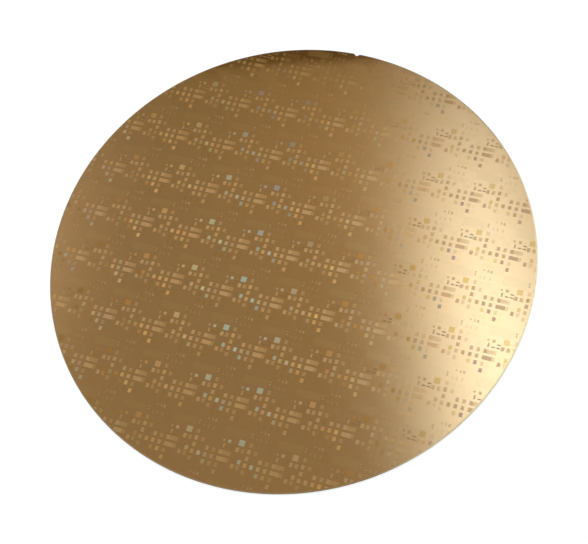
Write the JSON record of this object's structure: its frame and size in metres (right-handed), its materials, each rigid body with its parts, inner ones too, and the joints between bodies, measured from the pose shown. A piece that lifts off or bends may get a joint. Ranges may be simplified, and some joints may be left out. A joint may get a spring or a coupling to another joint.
{
  "type": "silicon wafer",
  "caption": "Round thin silicon wafer with a V notch in its rim and a repeated pattern of small rectangular test blocks on its polished face.",
  "frame": {"origin": "centre of the round back face, on the surface that the wafer lies on", "axes": "+Z out of the patterned face, +X along the rows of fields, +Y towards the orientation notch"},
  "size_m": [0.2, 0.2, 0.0007],
  "materials": {
    "silicon": "polished face under a thin brown-gold film, etched grey back",
    "film": "thin etched film blocks with faint diffraction colours"
  },
  "bodies": {
    "root": {"silicon_disc": "silicon", "film_pattern": "film"}
  },
  "joints": []
}
